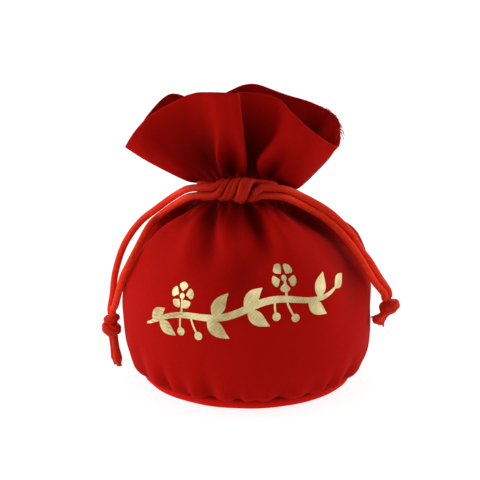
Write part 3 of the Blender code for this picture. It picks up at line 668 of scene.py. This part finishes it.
def fray(place, heading, reach, values):
    # loose fibres that fan out from the cut end, whose radius is reach:
    # root + length (heading t + spoke bend t^1.4)
    side = np.cross(heading, (0.0, 1.0, 0.0))
    side /= np.linalg.norm(side)
    other = np.cross(heading, side)
    found = []
    for _ in range(values["count"]):
        turn = rng.uniform(0, 2 * math.pi)
        out = math.sqrt(rng.uniform(0.02, 1.0))
        spoke = side * math.cos(turn) + other * math.sin(turn)
        long = values["length"] * rng.uniform(0.5, 1.15)
        bend = values["spread"] * out + rng.uniform(-0.12, 0.12)
        root = place + spoke * out * reach * 0.85 - heading * fibre["sunk"]
        t = np.linspace(0, 1, fibre["points"])[:, None]
        line = root + heading * long * t + spoke * long * bend * t**1.4
        found.append(tube(line, np.linspace(*fibre["radius"], fibre["points"]), fibre["sides"]))
    return found


for word, end in ends.items():
    knot, axis, wide, across = knotFrame(end)
    wraps = [wrapLine(knot, axis, wide, *wrap) for wrap in end["wraps"]]
    tubes = [tube(wrap, stopKnot["tube"], cord["sides"]) for wrap in wraps]
    core = stopKnot["core"] * np.array([stopKnot["coreEnd"]] + [1] * 10 + [stopKnot["coreEnd"]])
    tubes.append(tube(knot + axis * np.linspace(*end["core"], len(core))[:, None], core, 12))
    knotPiece = tubePiece(f"{word}StopKnot", tubes, f"{word}_stop_knot", f"{word}_knot", stopKnot["shade"])
    for strand, place, splay in ((1, "outer", end["splay"][0]), (-1, "inner", end["splay"][1])):
        turn = math.radians(splay)
        heading = -axis * math.cos(turn) + wide * math.sin(turn)
        beside = across * strand * halfSpacing
        foot = knot + beside + heading * (stopKnot["height"] / 2 + stopKnot["gap"] - np.dot(beside, heading))
        t = np.linspace(-end["back"] / end["tail"], 1, 24)
        sway = 0.0003 * np.sin(5 * t + strand)[:, None] * across
        line = foot + heading * (end["tail"] * t)[:, None] + sway
        swell = cordRadius * np.interp(t, np.linspace(0, 1, len(end["swell"])), end["swell"])
        tubes = [tube(line, swell, cord["sides"])] + fray(line[-1], heading, swell[-1], end["fray"])
        label, cadNode = f"{word}{place.capitalize()}Tail", f"{word}_{place}_tail"
        tubePiece(label, tubes, cadNode, f"{word}_knot", end["tailShade"])
    for strand, place in ((1, "outer"), (-1, "inner")):
        line = evenly(sideRoute(end, strand)[1], 90)
        tubes = [tube(line, cordRadius, cord["sides"])]
        piece = tubePiece(f"{word}{place.capitalize()}Strand", tubes, f"{word}_{place}_strand", f"{word}_end")
        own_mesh(piece)
print("cords made")

# the wall, in mm: height and radius of the full body, from the hem to the gathered neck
wall = {
    "profile": [(3.6, 34.6), (4.1, 37.0), (6.2, 39.5), (13.0, 41.5), (22.0, 42.2), (32.0, 42.1), (42.0, 39.9),
                (50.0, 35.3), (57.0, 28.6), (61.5, 22.2), (64.6, 17.4), (66.5, 15.7), (72.0, 15.3)],
    "columns": 400, "steps": 10, "thickness": 0.8, "neckLow": 65.4, "neckDip": 1.2, "neckDepthShare": 0.87,
    "puckers": 41, "puckerDepth": 0.55, "unevenness": 0.55, "ridge": 0.42, "ridgeAway": 1.9, "tuckRidge": 0.3,
}
# valleys pressed into the wall: degrees at the neck and at the foot (the front is -90),
# the height of the foot, the depth and half the width in mm
folds = [
    (-93, -78, 47, 3.8, 2.9), (-129, -112, 42, 3.4, 3.4), (-147, -171, 42, 3.2, 3.4),
    (-62, -12, 37, 3.9, 5.0), (-24, 12, 42, 2.2, 3.2), (20, 28, 44, 2.2, 3.0), (46, 50, 39, 2.6, 3.6),
    (74, 71, 45, 2.2, 2.8), (98, 96, 38, 2.6, 3.6), (122, 125, 46, 2.2, 2.8), (146, 149, 40, 2.5, 3.4),
    (172, 173, 44, 2.0, 3.0), (-104, -99, 59, 1.2, 1.3), (-84, -66, 59, 1.1, 1.3), (-117, -108, 58, 1.2, 1.3),
    (-72, -46, 53, 1.5, 2.2), (-162, -168, 50, 1.7, 2.0), (-50, -26, 22, 3.2, 8.5), (-98, -92, 28, 2.0, 7.0),
]
# tucks at the hem: angle, half the width, depth and height in mm
hemTucks = [
    (-150, 3.0, 1.2, 12), (-133, 2.0, 2.0, 8), (-121, 1.6, 1.6, 5), (-109, 2.6, 2.2, 8), (-95, 1.8, 2.0, 4),
    (-86, 1.4, 0.9, 4), (-74, 2.4, 2.2, 5), (-58, 2.0, 1.2, 5), (-47, 1.6, 2.0, 5), (-33, 2.8, 1.9, 8),
    (-14, 2.0, 1.3, 9), (2, 1.8, 1.1, 6), (14, 2.4, 1.6, 10), (33, 1.8, 1.2, 7), (51, 2.4, 1.7, 11),
    (72, 2.0, 1.2, 8), (90, 2.6, 1.8, 12), (109, 1.8, 1.2, 7), (128, 2.3, 1.5, 9), (147, 2.0, 1.3, 8),
    (168, 2.4, 1.6, 10), (-170, 2.0, 1.3, 8),
]


def wrapped(angle):
    # the same angle between -pi and pi
    return (angle + math.pi) % (2 * math.pi) - math.pi


def wallSurface(angle, height, radius):
    # radius - valleys - tucks + puckers, where a valley is e^-x^2 across with a ridge at each side; the neck
    # turns oval. Gives points in mm and the painted shade of each: darker in the valleys and tucks and
    # between the puckers, with a painted shadow from 54.5 mm up to the neck, under the cords
    depth = 0.0 * angle
    for top, foot, low, deep, wide in folds:
        share = np.clip((wall["neckLow"] - height) / (wall["neckLow"] - low), 0, 1)
        centre = np.radians(foot + (top - foot) * (1 - share) ** 3)
        away = wrapped(angle - centre) * radius / (wide * (0.55 + 1.1 * share))
        fade = smooth(0.0, 0.20, share) * (1 - smooth(0.40, 1.0, share))
        ridges = np.exp(-(away - wall["ridgeAway"]) ** 2) + np.exp(-(away + wall["ridgeAway"]) ** 2)
        depth = depth + deep * fade * (np.exp(-away**2) - wall["ridge"] * ridges)
    for where, wide, deep, tall in hemTucks:
        away = wrapped(angle - math.radians(where)) * radius / wide
        lift = np.exp(-(((height - 3.0) / tall) ** 2))
        ridges = np.exp(-((np.abs(away) - 2.0) ** 2))
        depth = depth + deep * lift * (np.exp(-away**2) - wall["tuckRidge"] * ridges)
    # the puckers crowd and thin out round the neck, and some are deeper
    crowding = 2.6 * np.sin(3 * angle) + 1.9 * np.sin(7 * angle)
    pucker = smooth(58, 65, height) * np.cos(wall["puckers"] * angle + crowding)
    pucker = pucker * (0.7 + 0.5 * np.sin(5 * angle + 1))
    broad = wall["unevenness"] * ripple(3.0 * angle, height / 9.0, 3)
    broad = broad * smooth(3, 12, height) * (1 - smooth(58, 66, height))
    r = radius - depth + wall["puckerDepth"] * pucker + broad
    squash = 1 - smooth(47, 66, height) * (1 - wall["neckDepthShare"])
    lift = -wall["neckDip"] * np.cos(2 * angle) * smooth(52, wall["neckLow"], height)
    # painted shade: the valleys' and tucks' depth, a painted shadow under the cords up to the neck, less on
    # the puckers' ridges
    paintedShade = np.clip(depth / 4.0 + 0.80 * smooth(54.5, 62.5, height) - 0.3 * pucker, 0, 1)
    return np.stack([r * np.cos(angle), r * squash * np.sin(angle), height + lift], -1), paintedShade


def clothGrid(outer, paintedShade, thickness, every):
    # a sheet closed round its columns with its inner face, sparser by every rows, turned over at the top; the
    # inner face gets heavier painted shade
    inner = (outer - thickness * gridNormals(outer, True))[::-every]
    lip = (outer[-1] + inner[0]) / 2 + np.array([0, 0, 0.3])
    shade = np.concatenate([paintedShade, paintedShade[-1:], 0.4 + 0.6 * paintedShade[::-every]])
    return np.concatenate([outer, lip[None], inner]), shade


profile = through(wall["profile"], wall["steps"])
angles = np.linspace(-math.pi, math.pi, wall["columns"], endpoint=False)
gridAngle = np.broadcast_to(angles, (len(profile), wall["columns"]))
gridHeight = np.broadcast_to(profile[:, :1], gridAngle.shape)
gridRadius = np.broadcast_to(profile[:, 1:], gridAngle.shape)
outer, paintedShade = wallSurface(gridAngle, gridHeight, gridRadius)
points, paintedShade = clothGrid(outer, paintedShade, wall["thickness"], 4)
faces = gridFaces(*points.shape[:2], True, True)
wallPiece = meshPiece("wall", points.reshape(-1, 3) * mm, faces, redCloth, shade=paintedShade.ravel())
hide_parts("wall_front", "wall_back")
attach(wallPiece, "pouch")
print("wall made")

# the base cover, in mm: radius and height from the middle of the underside, round the rim and back in
base = {
    "profile": [(0.0, 0.0), (30.0, 0.0), (33.2, 0.05), (35.0, 0.75), (36.0, 2.0), (35.8, 3.3), (34.4, 3.8),
                (30.0, 3.0), (0.0, 2.9)],
    "columns": 220, "unevenness": 0.28,
}
line = np.maximum(through(base["profile"], 5), 0)
turn = np.linspace(0, 2 * math.pi, base["columns"], endpoint=False)[None, :]
uneven = base["unevenness"] * ripple(5 * np.cos(turn) + line[:, 1:] / 3, 5 * np.sin(turn), 8)
radius = line[:, :1] + uneven * smooth(30, 34, line[:, :1])
made = np.stack([radius * np.cos(turn), radius * np.sin(turn), line[:, 1:] + 0 * turn], -1)
faces = gridFaces(*made.shape[:2], True)
# the rim's cloth carries painted light
basePiece = meshPiece("baseRim", made.reshape(-1, 3) * mm, faces, paintedLightRimCloth, shade=np.zeros(made.size // 3))
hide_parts("base_cover")
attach(basePiece, "pouch")

# the turned-in band inside the neck, in mm: height and how far it flares
lining = {
    "profile": [(63.4, 2.2), (64.6, 0.9), (66.0, 0.0), (68.5, 0.0), (71.0, 0.0), (71.8, 0.9), (72.5, 2.2)],
    "width": 10.5, "depth": 8.5, "gathers": 24, "gatherDepth": 0.35, "columns": 192, "thickness": 0.5,
    # the band's even painted shade
    "paintedShade": 0.4,
}
line = through(lining["profile"], 5)
turn = np.linspace(0, 2 * math.pi, lining["columns"], endpoint=False)[None, :]
gather = lining["gatherDepth"] * np.cos(lining["gathers"] * turn + np.sin(5 * turn))
acrossNeck = (lining["width"] + line[:, 1:] + gather) * np.cos(turn)
throughNeck = (lining["depth"] + line[:, 1:] + gather) * np.sin(turn)
made = np.stack([acrossNeck, throughNeck, line[:, :1] - wall["neckDip"] * np.cos(2 * turn)], -1)
points, paintedShade = clothGrid(made, np.full(made.shape[:2], lining["paintedShade"]), lining["thickness"], 1)
faces = gridFaces(*points.shape[:2], True, True)
liningPiece = meshPiece("neckLining", points.reshape(-1, 3) * mm, faces, liningCloth, shade=paintedShade.ravel())
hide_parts("channel_facing")
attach(liningPiece, "pouch")
print("base and lining made")

# Each column of the cage has its place at the neck in degrees, then points (x, y, z, shade) in mm on the way
# up to the lip, where shade is the painted shade the cloth gets there, 0 to 1. The front starts at the left
# seam.
frontCage = {
    "leftSeam": (180, (-20.5, -3.8, 69.6, 0.35), (-32.2, -2.6, 75.3, 0.2), (-40.9, 0.0, 80.3, 0.1)),
    "leftOuter": (202, (-21.5, -6.4, 73.0, 0.45), (-32.6, -4.6, 80.5, 0.25), (-37.5, -5.0, 86.3, 0.2)),
    "leftMiddle": (216, (-19.0, -6.4, 76.0, 0.75), (-26.6, -4.4, 84.4, 0.50), (-31.4, -9.0, 92.8, 0.25)),
    "leftInner": (226, (-15.6, -6.8, 77.6, 0.95), (-19.6, -5.6, 86.6, 0.60), (-22.9, -11.6, 98.2, 0.15)),
    "pleatValley": (234, (-12.1, -7.2, 78.2, 1.0), (-14.4, -8.2, 87.6, 0.65), (-17.4, -12.9, 100.6, 0.1)),
    "pleatUnder": (238, (-10.4, -9.4, 78.6, 1.0), (-11.7, -11.6, 88.0, 0.55), (-14.0, -13.9, 101.1, 0.1)),
    "pleatLeft": (243, (-9.9, -15.2, 79.2, 0.35), (-9.6, -15.2, 88.9, 0.3), (-10.8, -14.8, 101.4, 0.1)),
    "pleatMiddle": (254, (-5.4, -10.8, 76.0, 1.0), (-5.8, -15.9, 89.0, 0.3), (-6.8, -15.6, 101.4, 0.2)),
    "pleatRight": (266, (-0.8, -15.8, 79.8, 0.4), (-1.7, -16.0, 89.3, 0.25), (-3.2, -15.9, 101.2, 0.15)),
    "pleatBehind": (270, (-0.2, -9.6, 78.9, 1.0), (-1.2, -8.8, 87.6, 0.8), (-2.4, -11.2, 100.6, 0.4)),
    "recess": (276, (1.2, -7.6, 78.3, 1.0), (2.8, -6.2, 86.7, 0.70), (4.6, -9.6, 100.0, 0.35)),
    "foldBehind": (283, (2.4, -8.8, 77.8, 1.0), (6.6, -7.2, 85.6, 0.50), (9.2, -9.2, 98.5, 0.2)),
    "foldEdge": (288, (3.8, -15.2, 79.0, 0.25), (10.0, -14.4, 87.6, 0.05), (12.3, -10.8, 96.7, 0.05)),
    "foldUnder": (296, (7.8, -11.2, 74.6, 1.0), (12.4, -14.3, 85.4, 0.1), (14.8, -11.0, 94.0, 0.05)),
    "rightInner": (306, (10.6, -12.6, 74.4, 0.55), (15.8, -13.4, 82.8, 0.15), (18.9, -11.0, 90.0, 0.1)),
    "rightMiddle": (323, (14.6, -11.0, 70.4, 0.45), (20.3, -11.4, 79.2, 0.15), (24.4, -9.0, 85.2, 0.1)),
    "rightOuter": (340, (16.8, -8.2, 68.0, 0.3), (25.0, -6.2, 76.2, 0.1), (30.2, -4.2, 81.2, 0.05)),
    "rightSeam": (360, (18.2, -1.4, 68.6, 0.35), (27.8, 0.2, 77.2, 0.3), (31.2, 1.1, 84.9, 0.2)),
}
# points (x, y, z) of the back lip in mm, evenly spread round the neck from the right seam to the left
backLip = [
    (30.8, 5.0, 88.0), (28.1, 8.0, 90.7), (21.0, 11.0, 93.4), (12.8, 12.6, 95.8), (3.6, 14.0, 98.7),
    (-1.5, 14.0, 98.6), (-7.6, 13.2, 96.0), (-13.7, 11.4, 93.9), (-18.5, 10.6, 94.4), (-24.2, 10.2, 96.4),
    (-28.4, 8.6, 95.2), (-33.8, 5.6, 89.8), (-37.8, 2.6, 83.4),
]
# in mm too; the foot is the row at the neck that the whole ruffle grows from, and it gets a heavy painted
# shade
ruffle = {
    "stepsRound": 16, "stepsUp": 14, "thickness": 0.9, "backPleat": 1.5, "unevenness": 0.30,
    "gathers": 34, "gatherDepth": 0.35, "footWidth": 15.0, "footDepth": 13.0, "footHeight": 70.4,
    "footDip": 2.6, "footPaintedShade": 0.85, "tuckedShare": 0.90, "tuckedDrop": 4.0,
}


def ruffleFoot(turn):
    # the neck's oval with its height dipping by cos(2 turn), and a tucked row below it, inside the wall
    height = ruffle["footHeight"] - ruffle["footDip"] * math.cos(2 * turn)
    x, y = ruffle["footWidth"] * math.cos(turn), ruffle["footDepth"] * math.sin(turn)
    share, drop = ruffle["tuckedShare"], ruffle["tuckedDrop"]
    tucked = np.array([x * share, y * share, height - drop, ruffle["footPaintedShade"]])
    return [tucked, np.array([x, y, height, ruffle["footPaintedShade"]])]


cage = []
for place, *above in frontCage.values():
    cage.append(ruffleFoot(math.radians(place)) + [np.array(point) for point in above])
for index, lip in enumerate(backLip):
    turn = math.pi * (index + 1) / (len(backLip) + 1)
    column = ruffleFoot(turn)
    foot, lip = column[1], np.array(lip)
    sign = 1 if index % 2 else -1
    # painted shade on the back: heavier and lighter on alternate columns, light at the lip
    for share, out in ((0.34, 0.40), (0.68, 0.74)):
        swell = ruffle["backPleat"] * (0.7 + sign * math.sin(math.pi * share))
        bulge = np.array([0.25 * math.cos(turn), 1.0, 0.0]) * swell
        point = foot[:3] + (lip - foot[:3]) * np.array([out, out, share]) + bulge
        column.append(np.append(point, 0.5 - 0.2 * sign))
    cage.append(column + [np.append(lip, 0.25)])
around = through(np.array(cage), ruffle["stepsRound"], closed=True)
outer = through(np.swapaxes(around, 0, 1), ruffle["stepsUp"])
paintedShade, outer = outer[..., 3], outer[..., :3]
rows, columns = outer.shape[:2]
rise = np.linspace(0, 1, rows)[:, None]
turn = np.linspace(0, 2 * math.pi, columns, endpoint=False)[None, :]
uneven = ruffle["unevenness"] * ripple(9 * np.cos(turn) + 3 * rise, 9 * np.sin(turn), 21)
uneven = uneven * smooth(0.25, 0.6, rise)
gathers = ruffle["gatherDepth"] * np.cos(ruffle["gathers"] * turn + 1.5 * np.sin(4 * turn))
gathers = gathers * smooth(0.15, 0.27, rise) * (1 - smooth(0.27, 0.46, rise))
outer = outer + gridNormals(outer, True) * (uneven + gathers)[..., None]
# painted shade: less on the gathers' ridges and more between them
points, paintedShade = clothGrid(outer, np.clip(paintedShade - 0.5 * gathers, 0, 1), ruffle["thickness"], 1)
# the inner rows run down from the lip, with painted shade that grows darker down the mouth
paintedShade[rows + 1:] = 0.45 + 0.55 * smooth(0.0, 0.6, rise)
seamRight = (len(frontCage) - 1) * ruffle["stepsRound"]
for name, body, first, last, side in (
    ("ruffleFront", "front_lip", 0, seamRight, -1),
    ("ruffleBack", "back_lip", seamRight, columns, 1),
):
    picked = np.arange(first, last + 1) % columns
    part = points[:, picked]
    size = part.shape[:2]
    sideEdges = [endFaces(*size, 0, False), endFaces(*size, size[1] - 1, True)]
    faces = np.concatenate([gridFaces(*size, False, True), *sideEdges])
    piece = meshPiece(name, part.reshape(-1, 3) * mm, faces, redCloth, shade=paintedShade[:, picked].ravel())
    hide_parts("ruffle_front" if side < 0 else "ruffle_back")
    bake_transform(piece)

# threads that have worked loose along the right end of the back lip, in metres
rng = np.random.default_rng(5)
thread = {"length": (0.0010, 0.0032), "radius": (0.00014, 0.00008), "points": 7, "sides": 5}
loose = []
lipLine = points[rows, seamRight: seamRight + 3 * ruffle["stepsRound"] + 1] * mm
for place in rng.uniform(0, 1, 30) ** 1.6:
    root = lipLine[int(place * (len(lipLine) - 1))]
    t = np.linspace(0, 1, thread["points"])[:, None]
    away = np.array([rng.uniform(-0.4, 0.9), rng.uniform(-0.8, 0.0), rng.uniform(-0.7, 0.3)])
    droop = np.array([rng.uniform(-0.3, 0.3), 0.0, rng.uniform(-1.0, -0.2)])
    long = rng.uniform(*thread["length"])
    line = root + long * (away * t + 0.7 * droop * t**2)
    loose.append(tube(line, np.linspace(*thread["radius"], thread["points"]), thread["sides"]))
tubePiece("looseThreads", loose, None, "back_lip")
print("ruffle made")

# a flowering sprig pressed on the front: X runs round the wall and Z up it, in mm
foil = {
    "lift": 0.12, "radius": 42.0, "stemFrom": -37, "stemTo": 32, "stemPoints": 150, "leafPoints": 26,
    "line": [(-38.0, 28.6), (-24.0, 31.6), (-8.0, 35.6), (8.0, 38.2), (22.0, 40.0), (33.0, 41.0)],
    "waveHeight": 1.5, "waveLength": 5.2,
    # place on the stem, direction in degrees, length, greatest width, bend in degrees
    "leaves": [
        (-34, 62, 7.5, 3.8, -30), (-31, -46, 8.0, 3.8, 26), (-11, 80, 9.0, 4.2, -36),
        (-13, -60, 9.5, 4.2, 36), (-1, 64, 9.0, 4.0, -30), (0, -54, 9.0, 4.0, 30),
        (24, 80, 8.5, 4.0, -34), (20, -52, 8.5, 3.9, 24), (31.5, 26, 8.0, 3.4, -12),
    ],
    # place on the stem, and the stalk's direction, length and bend
    "berries": [(-22.5, -104, 5.5, 30), (-19.0, -78, 7.0, 24), (9.0, -104, 5.5, 30), (12.5, -78, 7.0, 24)],
    # place on the stem, stalk and petal length, and the turn of the petals
    "blossoms": [(-22.5, 6.2, 4.3, 18), (12.5, 6.4, 4.3, 54)],
    "petals": 5, "petalStart": 1.5, "petalWidth": 3.1, "berryRadius": 1.35, "dotRadius": 0.9,
}


def foilRibbon(line, widths):
    # a ribbon along the line of (X, Z) points, with a width in mm at each, laid on the wall's surface
    slope = np.gradient(line, axis=0)
    side = np.stack([-slope[:, 1], slope[:, 0]], 1) / np.maximum(np.linalg.norm(slope, axis=1), 1e-9)[:, None]
    across = np.linspace(-0.5, 0.5, 5)[None, :, None]
    flat = line[:, None] + side[:, None] * np.asarray(widths)[:, None, None] * across
    angle = -math.pi / 2 + flat[..., 0] / foil["radius"]
    radius = np.interp(flat[..., 1], profile[:, 0], profile[:, 1]) + foil["lift"]
    return wallSurface(angle, flat[..., 1], radius)[0]


def stemHeight(x):
    # the stem's line with a wave on it: height + wave height sin(x / wave length)
    spine = through(foil["line"], 12)
    return np.interp(x, spine[:, 0], spine[:, 1]) + foil["waveHeight"] * np.sin(x / foil["waveLength"])


def leafLine(x, turn, long, bend):
    # from the stem at X in even steps, turned by degrees from X, and bending on the way
    t = np.linspace(0, 1, foil["leafPoints"])
    heading = np.radians(turn + bend * t)
    step = np.stack([np.cos(heading), np.sin(heading)], 1) * long / (len(t) - 1)
    return np.array([x, stemHeight(x)]) + np.concatenate([[[0, 0]], np.cumsum(step[1:], axis=0)])


def foilDot(centre, radius):
    # a disc as a ribbon whose width is 2 radius sqrt(1 - s^2)
    s = np.linspace(-1, 1, foil["leafPoints"])
    widths = 2 * radius * np.sqrt(np.maximum(1 - s**2, 0.0)) + 0.02
    return foilRibbon(centre + np.stack([radius * s, 0 * s], 1), widths)


t = np.linspace(0, 1, foil["stemPoints"])
stemX = np.linspace(foil["stemFrom"], foil["stemTo"], foil["stemPoints"])
ribbons = [foilRibbon(np.stack([stemX, stemHeight(stemX)], 1), 0.5 + 1.8 * np.sin(math.pi * t) ** 0.5)]
t = np.linspace(0, 1, foil["leafPoints"])
for x, turn, long, wide, bend in foil["leaves"]:
    ribbons.append(foilRibbon(leafLine(x, turn, long, bend), 0.35 + wide * np.sin(math.pi * t**0.85) ** 1.2))
for x, turn, long, bend in foil["berries"]:
    line = leafLine(x, turn, long, bend)
    ribbons.append(foilRibbon(line, 0.65 + 0 * t))
    ribbons.append(foilDot(line[-1], foil["berryRadius"]))
for x, stalk, size, turn in foil["blossoms"]:
    line = leafLine(x, 80, stalk, 20)
    ribbons.append(foilRibbon(line, 0.8 + 0 * t))
    reach = foil["petalStart"] + (size - foil["petalStart"]) * t
    widths = 0.2 + foil["petalWidth"] * np.sin(math.pi * t**1.4) ** 0.75
    for petal in range(foil["petals"]):
        heading = math.radians(turn + 360 / foil["petals"] * petal)
        out = np.array([math.cos(heading), math.sin(heading)])
        ribbons.append(foilRibbon(line[-1] + out * reach[:, None], widths))
    ribbons.append(foilDot(line[-1], foil["dotRadius"]))
starts = np.cumsum([0] + [ribbon.shape[0] * ribbon.shape[1] for ribbon in ribbons])
foilPoints = np.concatenate([ribbon.reshape(-1, 3) for ribbon in ribbons])
foilFaces = [gridFaces(*ribbon.shape[:2], False)[:, ::-1] + start for ribbon, start in zip(ribbons, starts)]
foilPiece = meshPiece("foilSprig", foilPoints * mm, np.concatenate(foilFaces), goldFoil)
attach(foilPiece, "pouch")
print("foil sprig made")

# the board inside the base is bare card
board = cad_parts["base_board"]
board.data.materials.clear()
board.data.materials.append(greyCard)
